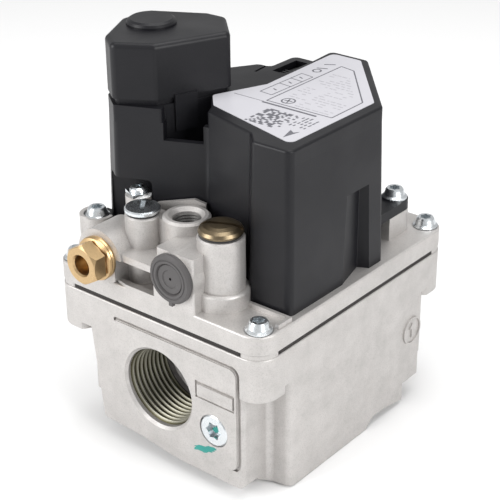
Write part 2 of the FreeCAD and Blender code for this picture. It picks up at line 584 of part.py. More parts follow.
GROUND_HEAD_Z = BOSS_Z + 1.0


def ground_washer():
    """Square plate washer."""
    x, y = GROUND
    plate = polygon_prism(x, y, BOSS_Z, GROUND_HEAD_Z, 4, 4.4, math.radians(20))
    return plate.cut(cylinder(x, y, BOSS_Z - 1, GROUND_HEAD_Z + 1, 2.3))


def ground_screw():
    x, y = GROUND
    seat, top = GROUND_HEAD_Z, GROUND_HEAD_Z + 1.8
    profile = [(0, seat - 9), (SCREW_R - 0.4, seat - 9), (SCREW_R, seat - 8.4), (SCREW_R, seat),
               (2.8, seat), (2.8, seat + 0.5), (2.55, seat + 1.1), (1.9, top - 0.25), (1.0, top - 0.04),
               (0, top)]
    slots = [box(x - 1.1, x + 1.1, y - 0.3, y + 0.3, top - 0.7, top + 1),
             box(x - 0.3, x + 0.3, y - 1.1, y + 1.1, top - 0.7, top + 1)]
    return turned(x, y, profile).cut(slots)


def inlet_screen():
    """Perforated strainer disc pressed into the inlet behind its thread."""
    y = PORT_FACES[0] + PORT_DEPTH + 2.5
    rim = cylinder_y(PORT_X, PORT_Z, y, y + 3.0, BORE_R).cut(
        cylinder_y(PORT_X, PORT_Z, y - 1, y + 4, BORE_R - 1.2))
    bars = []
    for i in range(-2, 3):
        bars.append(box(PORT_X + i * 4 - 0.5, PORT_X + i * 4 + 0.5, y + 1.6, y + 2.6,
                        PORT_Z - BORE_R, PORT_Z + BORE_R))
        bars.append(box(PORT_X - BORE_R, PORT_X + BORE_R, y + 1.6, y + 2.6,
                        PORT_Z + i * 4 - 0.5, PORT_Z + i * 4 + 0.5))
    disc = cylinder_y(PORT_X, PORT_Z, y, y + 3.0, BORE_R)
    return fused(rim, *[bar.common(disc) for bar in bars])


# ---------------------------------------------------------------- regulators
CAP_THREAD = 6.0                         # screw-cap engagement in its boss
ADJUSTER_TOP = BOSS_Z - CAP_THREAD - 2.2
ADJUSTER_H = 3.5
SPRING_SEAT_T = 0.9
PLATE_REST = PLATE_Z + 0.55              # underside of a diaphragm plate
CUP_TOP = PLATE_REST + 4.4
NECK_DROP = 0.6                          # relief under a screw cap's head


def seal_ring(place, key, top):
    """Rubber ring squeezed between a cap's head and the top of its boss."""
    return torus(place[0], place[1], top + 0.45, BORE[key] + 0.2, 0.44)


def low_cap():
    """Slotted zinc screw cap."""
    x, y = LOW
    r = BORE["low"]
    top = LOW_Z + 2.1
    profile = [(0, BOSS_Z - CAP_THREAD), (r - FIT, BOSS_Z - CAP_THREAD), (r - FIT, LOW_Z - 0.6),
               (r - NECK_DROP, LOW_Z - 0.6), (r - NECK_DROP, LOW_Z + 0.9), (BOSS_R["low"], LOW_Z + 0.9),
               (BOSS_R["low"], top - 0.4), (BOSS_R["low"] - 0.4, top), (0, top)]
    slot = box(x - 3.8, x + 3.8, y - 0.7, y + 0.7, top - 1.1, top + 1)
    slot.rotate(V(x, y, 0), Z_AXIS, 129)
    return turned(x, y, profile).cut(slot)


def high_cap():
    """Domed brass screw cap with a slot right across."""
    x, y = HIGH
    r = BORE["high"]
    top = BOSS_Z + 3.6
    profile = [(0, BOSS_Z - CAP_THREAD), (r - FIT, BOSS_Z - CAP_THREAD), (r - FIT, BOSS_Z - 0.6),
               (r - NECK_DROP, BOSS_Z - 0.6), (r - NECK_DROP, BOSS_Z + 0.9), (6.5, BOSS_Z + 0.9),
               (6.65, BOSS_Z + 1.5), (6.2, top - 1.2), (5.2, top - 0.5), (3.6, top - 0.1), (0, top)]
    slot = box(x - 9, x + 9, y - 0.65, y + 0.65, top - 1.5, top + 1)
    slot.rotate(V(x, y, 0), Z_AXIS, 26)
    return turned(x, y, profile).cut(slot)


def adjuster(place, key):
    """Plastic adjusting screw with a slotted top."""
    x, y = place
    bottom = ADJUSTER_TOP - ADJUSTER_H
    body = cylinder(x, y, bottom, ADJUSTER_TOP, BORE[key] - FIT)
    slot = box(x - BORE[key] + 1, x + BORE[key] - 1, y - 0.5, y + 0.5, ADJUSTER_TOP - 1.4, ADJUSTER_TOP + 1)
    return body.cut(slot)


def spring_seat(place, key):
    bottom = ADJUSTER_TOP - ADJUSTER_H - SPRING_SEAT_T
    x, y = place
    return turned(x, y, [(0, bottom - 1.5), (1.2, bottom - 1.5), (1.2, bottom), (BORE[key] - 0.4, bottom),
                         (BORE[key] - 0.4, bottom + SPRING_SEAT_T), (0, bottom + SPRING_SEAT_T)])


def regulator_spring(place, key):
    top = ADJUSTER_TOP - ADJUSTER_H - SPRING_SEAT_T
    return coil_spring(place[0], place[1], CUP_TOP, top, BORE[key] - 1.2, 0.35, 5)


def regulator_plate(place, key):
    """Diaphragm plate with the spring cup on its stem."""
    x, y = place
    cup = BORE[key] - 0.4
    return turned(x, y, [(0, PLATE_REST), (5.6, PLATE_REST), (5.6, PLATE_REST + 1.0), (1.6, PLATE_REST + 1.0),
                         (1.6, CUP_TOP - 1.0), (cup, CUP_TOP - 1.0), (cup, CUP_TOP), (1.3, CUP_TOP),
                         (1.3, CUP_TOP + 1.2), (0, CUP_TOP + 1.2)])


def regulator_diaphragm(place):
    x, y = place
    z = PLATE_Z
    return turned(x, y, [(0, z), (5.9, z), (6.2, z + 0.8), (6.9, z + 0.8), (7.2, z), (DIAPHRAGM_R, z),
                         (DIAPHRAGM_R, z + 0.5), (7.4, z + 0.5), (7.1, z + 1.3), (6.0, z + 1.3),
                         (5.7, z + 0.5), (0, z + 0.5)])


# ---------------------------------------------------------------- solenoids
class Solenoid:
    """Coil, core and plunger that lift one valve disc off its seat."""

    def __init__(self, place, base, coil_h, coil_r, seat_z, disc_r, lift):
        self.x, self.y = place
        self.base = base                          # casting face under the core flange
        self.yoke_z = base + 1.5                  # underside of the yoke's lower plate
        self.bobbin_z = self.yoke_z + 1.5
        self.bobbin_top = self.bobbin_z + coil_h
        self.top = self.bobbin_top + 1.5
        self.coil_r = coil_r
        self.seat_z = seat_z
        self.disc_r = disc_r
        self.lift = lift
        self.pole_z = self.bobbin_z + 0.62 * coil_h

    def core(self):
        """Fixed pole and guide tube with a mounting flange."""
        inner = PLUNGER_R + FIT
        return turned(self.x, self.y, [
            (inner, self.base), (8.8, self.base), (8.8, self.yoke_z), (inner + 0.8, self.yoke_z),
            (inner + 0.8, self.top + 1.6), (0, self.top + 1.6), (0, self.pole_z), (inner, self.pole_z)])

    def bobbin(self):
        r, z0, z1 = self.coil_r, self.bobbin_z, self.bobbin_top
        inner = PLUNGER_R + FIT + 0.9
        return turned(self.x, self.y, [
            (inner, z0), (r, z0), (r, z0 + 1.2), (inner + 1.0, z0 + 1.2), (inner + 1.0, z1 - 1.2),
            (r, z1 - 1.2), (r, z1), (inner, z1)])

    def winding(self):
        inner = PLUNGER_R + FIT + 1.95
        return tube(self.x, self.y, self.bobbin_z + 1.25, self.bobbin_top - 1.25, self.coil_r - 0.8, inner)

    def yoke(self, turn=0.0):
        """Steel bracket that closes the magnetic path round the coil; turn swings its back plate."""
        x, y, half = self.x, self.y, self.coil_r * 0.62
        side = self.coil_r + 0.3
        rounding = fused(cylinder(x, y, self.base, self.top + 1, self.coil_r + 0.4),
                         box(x - half, x + half, y, y + side + 1.5, self.base, self.top + 1))
        plates = [box(x - half, x + half, y - side, y + side + 1.5, z, z + 1.5).common(rounding)
                  for z in (self.yoke_z, self.bobbin_top)]
        back = box(x - half, x + half, y + side, y + side + 1.5, self.yoke_z, self.top)
        bracket = fused(*plates, back)
        bracket = bracket.cut(cylinder(x, y, self.base, self.top + 1, PLUNGER_R + FIT + 0.9))
        bracket.rotate(V(x, y, 0), Z_AXIS, turn)
        return bracket

    def plunger(self, well=0.0):
        """Moving iron with a stem down to the valve disc; well is the depth of a spring hole."""
        top = self.pole_z - self.lift - 0.2
        guide = self.base - 4.0
        neck = self.seat_z + 3.4
        iron = turned(self.x, self.y, [
            (0, neck - 2.4), (1.6, neck - 2.4), (1.6, neck), (2.2, neck), (2.2, guide),
            (PLUNGER_R, guide + 1.0), (PLUNGER_R, top - 0.5), (PLUNGER_R - 0.5, top), (0, top)])
        if well:
            iron = iron.cut(cylinder(self.x, self.y, top - well, top + 1, 2.4))
        return iron

    def disc(self):
        """Rubber-faced valve disc on the plunger's stem."""
        z, r = self.seat_z, self.disc_r
        return turned(self.x, self.y, [
            (0, z + 0.02), (r, z + 0.02), (r, z + 2.2), (r - 1.0, z + 3.3), (1.65, z + 3.3),
            (1.65, z + 0.9), (0, z + 0.9)])

    def spring(self, roof):
        return coil_spring(self.x, self.y, self.seat_z + 3.35, roof, self.disc_r / 2 + 0.2, 0.5, 4)

    def well_spring(self, well):
        """Closing spring between the bottom of the plunger's hole and the fixed pole."""
        foot = self.pole_z - self.lift - 0.2 - well
        return coil_spring(self.x, self.y, foot + 0.02, self.pole_z - 0.02, 1.75, 0.3, 6)


FIRST_COIL = Solenoid(FIRST, COIL_Z, 27.0, COIL_R, SEAT_Z, SEAT_R + 2.2, VALVE_LIFT)
SECOND_COIL = Solenoid(SECOND, COIL_Z, 27.0, COIL_R, SEAT_Z, SEAT_R + 2.2, VALVE_LIFT)
STAGE_COIL = Solenoid(STAGE, PLATFORM_Z, 33.0, 10.5, PLATE_Z + 6.0, 3.9, 1.5)
STAGE_WELL = 7.0                         # depth of the spring hole in the stage plunger


# ---------------------------------------------------------------- electrical parts
BOARD_Z = SHELF_Z - COVER_WALL - 7.0
BOARD_T = 1.6
BODY_H_SWITCH = 5.0


def circuit_board():
    x0, y0 = LEFT + 22.0, FRONT + 58.0
    outline = [(RIGHT - 8.0, FRONT + 28.0), (RIGHT - 8.0, BACK - 37.0), (RIGHT - 32.0, BACK - 8.0),
               (LEFT + 25.8, BACK - 8.0), (LEFT + 25.8, BACK - 21.0), (x0, y0),
               (RIGHT - 34.0, y0 - 14.0), (RIGHT - 34.0, FRONT + 28.0)]
    board = prism(outline, BOARD_Z, BOARD_Z + BOARD_T, 1.0)
    return board.cut([cylinder(*place, BOARD_Z - 1, BOARD_Z + 3, PLUNGER_R + 1.6)
                      for place in (FIRST, SECOND)])


def switch_body():
    """Slide switch soldered to the board, open along its top for the lever."""
    x, y = SWITCH
    z = BOARD_Z + BOARD_T
    case = box(x - 2.6, x + 2.6, y - 6.5, y + 6.5, z, z + BODY_H_SWITCH)
    return case.cut(box(x - 1.7, x + 1.7, y - 5.4, y + 5.4, z + 1.2, z + BODY_H_SWITCH + 1))


def switch_slider():
    """Ridged thumb piece that stands just below the shelf's rim and drives the switch."""
    x, y = SWITCH[0], SWITCH[1] - SWITCH_TRAVEL / 2
    z = BOARD_Z + BOARD_T + 1.2 + GAP
    foot = box(x - 1.5, x + 1.5, y - 2.6, y + 2.6, z, z + 2.4)
    stem = box(x - 1.0, x + 1.0, y - 1.6, y + 1.6, z + 1, SHELF_Z - 2.4)
    thumb = box(x - 1.6, x + 1.6, y - 2.6, y + 2.6, SHELF_Z - 3.2, SHELF_Z - 1.8)
    ridges = [box(x - 1.6, x + 1.6, y + i * 1.5 - 0.35, y + i * 1.5 + 0.35, SHELF_Z - 2, SHELF_Z - 1.2)
              for i in (-1, 0, 1)]
    return fused(foot, stem, thumb, *ridges)


SOCKET = (LEFT + 38.2, TOP_Z + 15.0)     # connector centre on the back wall, x and z
SOCKET_W, SOCKET_H = 22.0, 12.0
BACK_WALL = BACK - 4.3                   # top of the cover's back wall


def connector_shell():
    """Open-backed shroud round the blade terminals."""
    x, z = SOCKET
    y0, y1 = BACK_WALL - 4.5, BACK_WALL + 3.2
    w, h = SOCKET_W / 2, SOCKET_H / 2
    shell = box(x - w, x + w, y0, y1, z - h, z + h)
    flange = box(x - w - 1.5, x + w + 1.5, BACK_WALL - 4.4, BACK_WALL - 2.9, z - h - 1.5, z + h + 1.5)
    hollow = box(x - w + 1.2, x + w - 1.2, y0 + 1.5, y1 + 1, z - h + 1.2, z + h - 1.2)
    shell = fused(shell, flange).cut(hollow)
    return shell.cut([box(x + i * 5.5 - 0.45, x + i * 5.5 + 0.45, y0 - 1, y0 + 2, z - 3.2, z + 3.2)
                      for i in (-1, 0, 1)])


def terminal_blades():
    x, z = SOCKET
    y0 = BACK_WALL - 5.0
    return Part.makeCompound([box(x + i * 5.5 - 0.4, x + i * 5.5 + 0.4, y0, BACK_WALL + 1.5, z - 3.15, z + 3.15)
                              for i in (-1, 0, 1)])


# ---------------------------------------------------------------- covers
EARTH_NOTCH = (-3.9, 11.2)               # recess round the earth column, along the slanting wall
EARTH_NOTCH_DEPTH = 6.0
EARTH_NOTCH_TOP = TOP_Z + 26.5
FLUTE_TOP = TOP_Z + 27.7
WELL_SPAN = (15.2, 27.5)                 # open front of the well beside the tower
WELL_SILL = SHELF_Z - 5.4
WELL_FLOOR = SHELF_Z - 10.0
WELL_OUTLINE = [
    (LEFT + 28.15, FRONT + 22.55), (RIGHT - 42.05, FRONT + 28.05), (RIGHT - 43.1, FRONT + 30.4),
    (LEFT + 33.2, FRONT + 37.9), (LEFT + 27.2, FRONT + 23.95)]
# Shoulder of the slanting wall below the tower cap
SHOULDER_OUTLINE = [
    (LEFT + 7.8, FRONT + 19.8), (LEFT + 15.1, FRONT + 14.5), (LEFT + 29.0, FRONT + 20.7),
    (LEFT + 27.0, FRONT + 23.75), (LEFT + 13.15, FRONT + 23.75)]
SEAM_GROOVE = 1.8                        # height of the groove under the tower cap


def wall_frame(shape):
    """Turns a shape made along +X so that it lies along the tower's slanting front wall."""
    x0, y0 = COVER_OUTLINE[10]
    x1, y1 = COVER_OUTLINE[11]
    shape.rotate(V(0, 0, 0), Z_AXIS, math.degrees(math.atan2(y1 - y0, x1 - x0)))
    shape.translate(V(x0, y0, 0))
    return shape


def earth_notch(extra=0.0):
    """Recess in the slanting wall round the earth column; extra grows it for the wall."""
    start, end = EARTH_NOTCH
    face = [(start - extra, TOP_Z - 1), (end + extra, TOP_Z - 1), (end + extra, EARTH_NOTCH_TOP + extra),
            (start - extra, EARTH_NOTCH_TOP + extra)]
    return wall_frame(prism_y(face, -4.0, EARTH_NOTCH_DEPTH + extra, 1.8))


def well(extra=0.0):
    """Deep well between the tower, the raised block and the slanting wall, open to the front."""
    inner = prism(offset(WELL_OUTLINE, extra), WELL_FLOOR - extra, COVER_Z + 1, 0.4)
    start, end = WELL_SPAN
    mouth = wall_frame(box(start - extra, end + extra, -4.0, 2.6 + extra, WELL_SILL - extra, COVER_Z + 1))
    return inner.fuse(mouth)


def flute(extra=0.0):
    """Wedge-shaped recess in the right wall, deepest at its back end."""
    outline = [(RIGHT - 2.6, FRONT + 41.2), (RIGHT + 2.0, FRONT + 41.2), (RIGHT + 2.0, FRONT + 54.5),
               (RIGHT - 2.6, FRONT + 54.5), (RIGHT - 5.7, FRONT + 52.9)]
    return prism(offset(outline, extra), TOP_Z - 1, FLUTE_TOP + extra, 0.3)


def casting_room(grow):
    """Space that the upper casting's raised parts take out of the cover."""
    platform = prism(offset(PLATFORM_OUTLINE, grow), PLATE_Z, PLATFORM_Z + grow / 3, 2.0)
    foot = cylinder(*HIGH, PLATE_Z, TOP_Z + HIGH_RING_H + grow, HIGH_RING_R + grow)
    boss = cylinder(*HIGH, PLATE_Z, BOSS_Z + grow, BOSS_R["high"] + grow)
    tapped = cylinder(*TAP, PLATE_Z, BOSS_Z + grow, BOSS_R["tap"] + grow)
    earth = cylinder(*GROUND, PLATE_Z, BOSS_Z + grow, BOSS_R["ground"] + grow)
    return [platform, foot, boss, tapped, earth, front_block(grow), *screw_columns(grow)]


def ears():
    """Screw ears of the cover, one beside the tower and one on the slanting back wall."""
    (x0, y0, z0), (x1, y1, z1) = COVER_SCREWS
    left = fused(cylinder(x0, y0, z0, z0 + EAR_T, EAR_R),
                 box(x0 - 2.0, x0 + 4.0, y0 + 1.7, y0 + 6.5, z0, z0 + EAR_T))
    right = fused(cylinder(x1, y1, z1, z1 + EAR_T, 4.4),
                  box(x1 - 4.4, x1 + 4.4, y1 - 14.0, y1, z1, z1 + EAR_T))
    return left, right


def cover_cavity():
    """Inside of the main cover, one wall thickness in from every outer face."""
    low = prism(offset(COVER_OUTLINE, -COVER_WALL), TOP_Z - 1, SHELF_Z - COVER_WALL, 0.8)
    main = prism(offset(MAIN_OUTLINE, -COVER_WALL), SHELF_Z - 8, COVER_Z - COVER_WALL, 0.8)
    tower = prism(offset(TOWER_OUTLINE, -COVER_WALL - 0.4), SHELF_Z - 8, CAP_Z, 0.8)
    cavity = low.multiFuse([main, tower])
    return cavity.cut([earth_notch(COVER_WALL), flute(COVER_WALL - 0.4), well(COVER_WALL - 0.4)])


def main_cover():
    low = drafted(COVER_OUTLINE, TOP_Z, SHELF_Z, DRAFT, 2.2)
    main = soften(prism(MAIN_OUTLINE, SHELF_Z - 1, COVER_Z, 2.2), COVER_Z, 0.8)
    tower = prism(TOWER_OUTLINE, SHELF_Z - 1, CAP_Z - SEAM_GROOVE, 2.0)
    shoulder = prism(SHOULDER_OUTLINE, SHELF_Z - 1, CAP_Z - SEAM_GROOVE, 1.0)
    neck = prism(offset(TOWER_OUTLINE, -1.0), CAP_Z - SEAM_GROOVE - 1, CAP_Z, 1.6)
    solid = low.multiFuse([main, tower, shoulder, neck] + list(ears()))
    solid = solid.cut([earth_notch(), flute(), well()]).cut(cover_cavity())
    solid = solid.cut(casting_room(0.15)).cut(pedestal_rim())
    x, y = SWITCH
    cuts = [box(x - SLOT[0] / 2, x + SLOT[0] / 2, y - SLOT[1] / 2, y + SLOT[1] / 2, SHELF_Z - 5, SHELF_Z + 1)]
    mark = box(x - 6.9, x - 6.1, y - 10.3, y - 4.2, SHELF_Z - 1.2, SHELF_Z + 1)
    mark.rotate(V(x - 6.5, y - 7.2, 0), Z_AXIS, 6.5)
    sx, sz = SOCKET
    w, h = SOCKET_W / 2 + 0.1, SOCKET_H / 2 + 0.1
    cuts += [mark, box(sx - w, sx + w, BACK_WALL - 3, BACK, sz - h, sz + h)]
    cuts += [cylinder(x, y, z - 1, z + EAR_T + 1, SCREW_R + 0.2) for x, y, z in COVER_SCREWS]
    cuts += [cylinder(x, y, z + EAR_T, z + EAR_T + 6, 4.3) for x, y, z in COVER_SCREWS]
    solid = solid.cut(cuts)
    return max(solid.Solids, key=lambda piece: piece.Volume)


def latch_tab():
    """Tab of the tower cap that hangs over the tower's right facet."""
    x0, y0 = TOWER_OUTLINE[2]
    x1, y1 = TOWER_OUTLINE[3]
    tab = box(5.7, 12.9, -0.95, -0.1, CAP_Z - 10.3, CAP_Z + 1.0)
    link = box(5.7, 12.9, -0.95, 1.5, CAP_Z + 0.2, CAP_Z + 1.0)
    tab = tab.fuse(link)
    tab.rotate(V(0, 0, 0), Z_AXIS, math.degrees(math.atan2(y1 - y0, x1 - x0)))
    tab.translate(V(x0, y0, 0))
    return tab


def tower_cap():
    """Domed lid of the tower with a round boss on top and a skirt inside the cover's neck."""
    outer = soften(prism(TOWER_OUTLINE, CAP_Z, TOWER_Z, 2.2), TOWER_Z, 1.6)
    inner = prism(offset(TOWER_OUTLINE, -COVER_WALL), CAP_Z - 5, TOWER_Z - COVER_WALL, 1.0)
    skirt = prism(offset(TOWER_OUTLINE, -COVER_WALL - 0.6), CAP_Z - 3, CAP_Z + 2, 0.8)
    skirt = skirt.cut(prism(offset(TOWER_OUTLINE, -COVER_WALL - 1.8), CAP_Z - 4, CAP_Z + 3, 0.6))
    x, y = LEFT + 11.4, FRONT + 36.0
    top = TOWER_Z + 1.8
    button = turned(x, y, [(0, TOWER_Z - 0.5), (7.6, TOWER_Z - 0.5), (7.6, top - 1.2), (7.2, top - 0.5),
                           (6.4, top), (0, top)])
    link = prism(offset(TOWER_OUTLINE, -COVER_WALL + 0.5), CAP_Z + 0.2, CAP_Z + 2, 1.0)
    link = link.cut(prism(offset(TOWER_OUTLINE, -COVER_WALL - 1.8), CAP_Z - 1, CAP_Z + 3, 0.6))
    return fused(outer.cut(inner), skirt, link, button, latch_tab())


def label():
    return prism(LABEL_OUTLINE, COVER_Z, COVER_Z + 0.15, 2.0)


# ---------------------------------------------------------------- all pieces
def build():
    os.makedirs("parts", exist_ok=True)
    export("lower_body", lower_body())
    export("upper_body", upper_body())
    export("body_gasket", body_gasket())
    export("body_screws", body_screws())
    export("main_cover", main_cover())
    export("tower_cap", tower_cap())
    export("label", label())
    export("cover_screws", cover_screws())
    export("inlet_tap_plug", gauge_plug(-1))
    export("outlet_tap_plug", gauge_plug(1))
    export("inlet_screen", inlet_screen())
    export("brass_fitting", brass_fitting())
    export("vent_plug", vent_plug())
    export("ground_washer", ground_washer())
    export("ground_screw", ground_screw())
    export("low_cap", low_cap())
    export("high_cap", high_cap())
    for name, place, top in (("low", LOW, LOW_Z), ("high", HIGH, BOSS_Z)):
        export(name + "_cap_seal", seal_ring(place, name, top))
        export(name + "_adjuster", adjuster(place, name))
        export(name + "_spring_seat", spring_seat(place, name))
        export(name + "_spring", regulator_spring(place, name))
        export(name + "_diaphragm_plate", regulator_plate(place, name))
        export(name + "_diaphragm", regulator_diaphragm(place))
    for name, coil, turn, well in (("first", FIRST_COIL, 0, 0.0), ("second", SECOND_COIL, 180, 0.0),
                                   ("stage", STAGE_COIL, 117, STAGE_WELL)):
        export(name + "_core", coil.core())
        export(name + "_bobbin", coil.bobbin())
        export(name + "_winding", coil.winding())
        export(name + "_yoke", coil.yoke(turn))
        export(name + "_plunger", coil.plunger(well))
        export(name + "_valve_disc", coil.disc())
    export("first_valve_spring", FIRST_COIL.spring(POCKET_ROOF))
    export("second_valve_spring", SECOND_COIL.spring(POCKET_ROOF))
    export("stage_valve_spring", STAGE_COIL.well_spring(STAGE_WELL))
    export("circuit_board", circuit_board())
    export("switch_body", switch_body())
    export("switch_slider", switch_slider())
    export("connector_shell", connector_shell())
    export("terminal_blades", terminal_blades())


build()
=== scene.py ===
# %% [markdown]
# # Two-stage gas control valve
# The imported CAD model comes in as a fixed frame. Each solid keeps its own place and body, and this
# script gives it a finish, adds the small things that CAD leaves out, and sets the camera and lights.

# %% Load the frame
import bmesh
import bpy
import json
import math
import random
from mathutils import Matrix, Vector


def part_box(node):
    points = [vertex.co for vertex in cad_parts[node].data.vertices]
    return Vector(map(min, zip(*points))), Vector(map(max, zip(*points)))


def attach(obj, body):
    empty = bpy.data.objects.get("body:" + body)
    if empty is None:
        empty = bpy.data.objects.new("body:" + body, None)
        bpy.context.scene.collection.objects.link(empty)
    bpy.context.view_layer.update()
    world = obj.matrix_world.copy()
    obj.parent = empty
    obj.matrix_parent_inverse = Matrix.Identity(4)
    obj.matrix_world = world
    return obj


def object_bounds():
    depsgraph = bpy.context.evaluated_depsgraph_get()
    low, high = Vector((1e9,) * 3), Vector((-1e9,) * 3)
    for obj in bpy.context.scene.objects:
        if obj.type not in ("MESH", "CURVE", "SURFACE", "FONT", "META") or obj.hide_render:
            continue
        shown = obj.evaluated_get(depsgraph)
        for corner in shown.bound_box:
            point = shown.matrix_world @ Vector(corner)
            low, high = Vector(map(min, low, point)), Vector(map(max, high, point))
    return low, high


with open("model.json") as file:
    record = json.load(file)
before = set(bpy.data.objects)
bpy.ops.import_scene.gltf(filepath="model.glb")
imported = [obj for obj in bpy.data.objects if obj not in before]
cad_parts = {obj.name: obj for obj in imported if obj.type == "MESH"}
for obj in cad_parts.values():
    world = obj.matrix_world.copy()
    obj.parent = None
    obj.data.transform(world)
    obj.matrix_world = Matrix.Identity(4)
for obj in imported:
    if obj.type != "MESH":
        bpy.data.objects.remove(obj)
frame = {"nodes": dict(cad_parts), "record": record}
cad_low, cad_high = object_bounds()
nodes = frame["nodes"]
MM = 0.001
print("CAD nodes:", len(nodes), "box in mm:", [round(v / MM, 1) for v in (*cad_low, *cad_high)])

# %% [markdown]
# ## Camera
# A long lens keeps the edges of the casting nearly parallel, as in a catalogue picture. The camera's
# axes are built from an azimuth, an elevation and a small roll, which says more than three Euler angles.

# %% Camera
CAMERA_AT = Vector((243.868, -298.852, 249.839)) * MM
AZIMUTH, ELEVATION, ROLL = math.radians(39.4475), math.radians(26.983), math.radians(-0.472)
forward = Vector((-math.sin(AZIMUTH) * math.cos(ELEVATION),
                  math.cos(AZIMUTH) * math.cos(ELEVATION), -math.sin(ELEVATION)))
level = Vector((math.cos(AZIMUTH), math.sin(AZIMUTH), 0))
upright = level.cross(forward)
side = level * math.cos(ROLL) + upright * math.sin(ROLL)
top = upright * math.cos(ROLL) - level * math.sin(ROLL)

camera_data = bpy.data.cameras.new("catalogue_camera")
camera_data.lens, camera_data.sensor_width = 98.72, 36.0
camera_data.clip_start, camera_data.clip_end = 0.01, 20.0
camera = bpy.data.objects.new("catalogue_camera", camera_data)
turn = Matrix((side, top, -forward)).transposed()
camera.matrix_world = Matrix.Translation(CAMERA_AT) @ turn.to_4x4()
bpy.context.scene.collection.objects.link(camera)
bpy.context.scene.camera = camera
print("lens", camera_data.lens, "mm, distance", round(CAMERA_AT.length, 3), "m")

# %% [markdown]
# ## Floor and light
# The object stands on a white sweep under soft boxes. A bright, even world fills the shadows; one large
# box above gives the tops their sheen, one in front on the left lights the port face.

# %% Floor and lights
def soft_box(name, place, target, size, power, tint=(1, 1, 1)):
    data = bpy.data.lights.new(name, "AREA")
    data.shape, data.size, data.energy, data.color = "SQUARE", size, power, tint
    light = bpy.data.objects.new(name, data)
    light.location = place
    light.rotation_euler = (Vector(target) - Vector(place)).to_track_quat("-Z", "Y").to_euler()
    bpy.context.scene.collection.objects.link(light)
    return light


world = bpy.data.worlds.new("studio")
bpy.context.scene.world = world
world.use_nodes = True
world.node_tree.nodes["Background"].inputs["Color"].default_value = (1.0, 1.0, 1.0, 1)
world.node_tree.nodes["Background"].inputs["Strength"].default_value = 0.62
bpy.context.scene.view_settings.view_transform = "Standard"

floor_mesh = bmesh.new()
bmesh.ops.create_grid(floor_mesh, x_segments=1, y_segments=1, size=4.0)
floor_data = bpy.data.meshes.new("floor")
floor_mesh.to_mesh(floor_data)
floor_mesh.free()
floor = bpy.data.objects.new("floor", floor_data)
floor.location.z = cad_low.z - 0.0002
bpy.context.scene.collection.objects.link(floor)

soft_box("top_box", (0.05, 0.10, 0.75), (0, 0, 0.05), 0.55, 3.4)
soft_box("front_box", (-0.35, -0.65, 0.35), (0, 0, 0.05), 0.45, 5.2)
soft_box("right_box", (0.75, -0.10, 0.35), (0, 0, 0.05), 0.40, 4.0)

# %% [markdown]
# ## Shared effects
# Real surfaces vary at several sizes at once. Node groups hold those effects, so every finish
# can use them with its own values: a grain for castings and one for mouldings.

# %% Node helpers
def group(name, inputs, outputs):
    tree = bpy.data.node_groups.new(name, "ShaderNodeTree")
    for label, kind, value in inputs:
        socket = tree.interface.new_socket(label, in_out="INPUT", socket_type="NodeSocket" + kind)
        socket.default_value = value
    for label, kind in outputs:
        tree.interface.new_socket(label, in_out="OUTPUT", socket_type="NodeSocket" + kind)
    return tree, tree.nodes.new("NodeGroupInput"), tree.nodes.new("NodeGroupOutput")


def noise(tree, scale, detail=2.0, rough=0.5, coords=None, stretch=None):
    """3D noise on Object coordinates; scale is in waves per metre."""
    if coords is None:
        coords = tree.nodes.new("ShaderNodeTexCoord").outputs["Object"]
    if stretch:
        mapping = tree.nodes.new("ShaderNodeMapping")
        mapping.inputs["Scale"].default_value = stretch
        tree.links.new(coords, mapping.inputs["Vector"])
        coords = mapping.outputs["Vector"]
    node = tree.nodes.new("ShaderNodeTexNoise")
    node.inputs["Scale"].default_value = scale
    node.inputs["Detail"].default_value = detail
    node.inputs["Roughness"].default_value = rough
    tree.links.new(coords, node.inputs["Vector"])
    return node.outputs["Fac"]


def calc(tree, operation, a, b, clamp=False):
    node = tree.nodes.new("ShaderNodeMath")
    node.operation, node.use_clamp = operation, clamp
    for socket, value in zip(node.inputs, (a, b)):
        if isinstance(value, (int, float)):
            socket.default_value = value
        else:
            tree.links.new(value, socket)
    return node.outputs[0]


def spread(tree, value, low, high, to_low=0.0, to_high=1.0):
    node = tree.nodes.new("ShaderNodeMapRange")
    tree.links.new(value, node.inputs["Value"])
    for label, number in (("From Min", low), ("From Max", high), ("To Min", to_low), ("To Max", to_high)):
        node.inputs[label].default_value = number
    return node.outputs["Result"]


def blend_colour(tree, factor, a, b):
    node = tree.nodes.new("ShaderNodeMix")
    node.data_type = "RGBA"
    for socket, value in ((node.inputs[0], factor), (node.inputs[6], a), (node.inputs[7], b)):
        if isinstance(value, (int, float)):
            socket.default_value = value
        elif isinstance(value, tuple):
            socket.default_value = (*value, 1)
        else:
            tree.links.new(value, socket)
    return node.outputs[2]


# %% Cast grain: fine pits, soft mottling and flow marks of a die casting
cast_grain, entry, leave = group("cast_grain", [("Light", "Color", (0.7, 0.7, 0.7, 1)),
                                                ("Dark", "Color", (0.5, 0.5, 0.5, 1)),
                                                ("Roughness", "Float", 0.5)],
                                 [("Color", "Color"), ("Roughness", "Float"), ("Height", "Float")])
speckle = noise(cast_grain, 2600, 3.0, 0.6)
mottle = noise(cast_grain, 180, 4.0, 0.6)
flow = noise(cast_grain, 45, 3.0, 0.55, stretch=(1, 1, 2.5))
tone = calc(cast_grain, "ADD", calc(cast_grain, "MULTIPLY", mottle, 0.6),
            calc(cast_grain, "MULTIPLY", flow, 0.4))
tone = spread(cast_grain, tone, 0.36, 0.64)
pits = spread(cast_grain, speckle, 0.30, 0.52, 0.6, 1.0)
deepened = calc(cast_grain, "ADD", calc(cast_grain, "MULTIPLY", tone, 0.28), 0.72)
shade = calc(cast_grain, "MULTIPLY", deepened, pits)
cast_grain.links.new(blend_colour(cast_grain, shade, entry.outputs["Dark"], entry.outputs["Light"]),
                     leave.inputs["Color"])
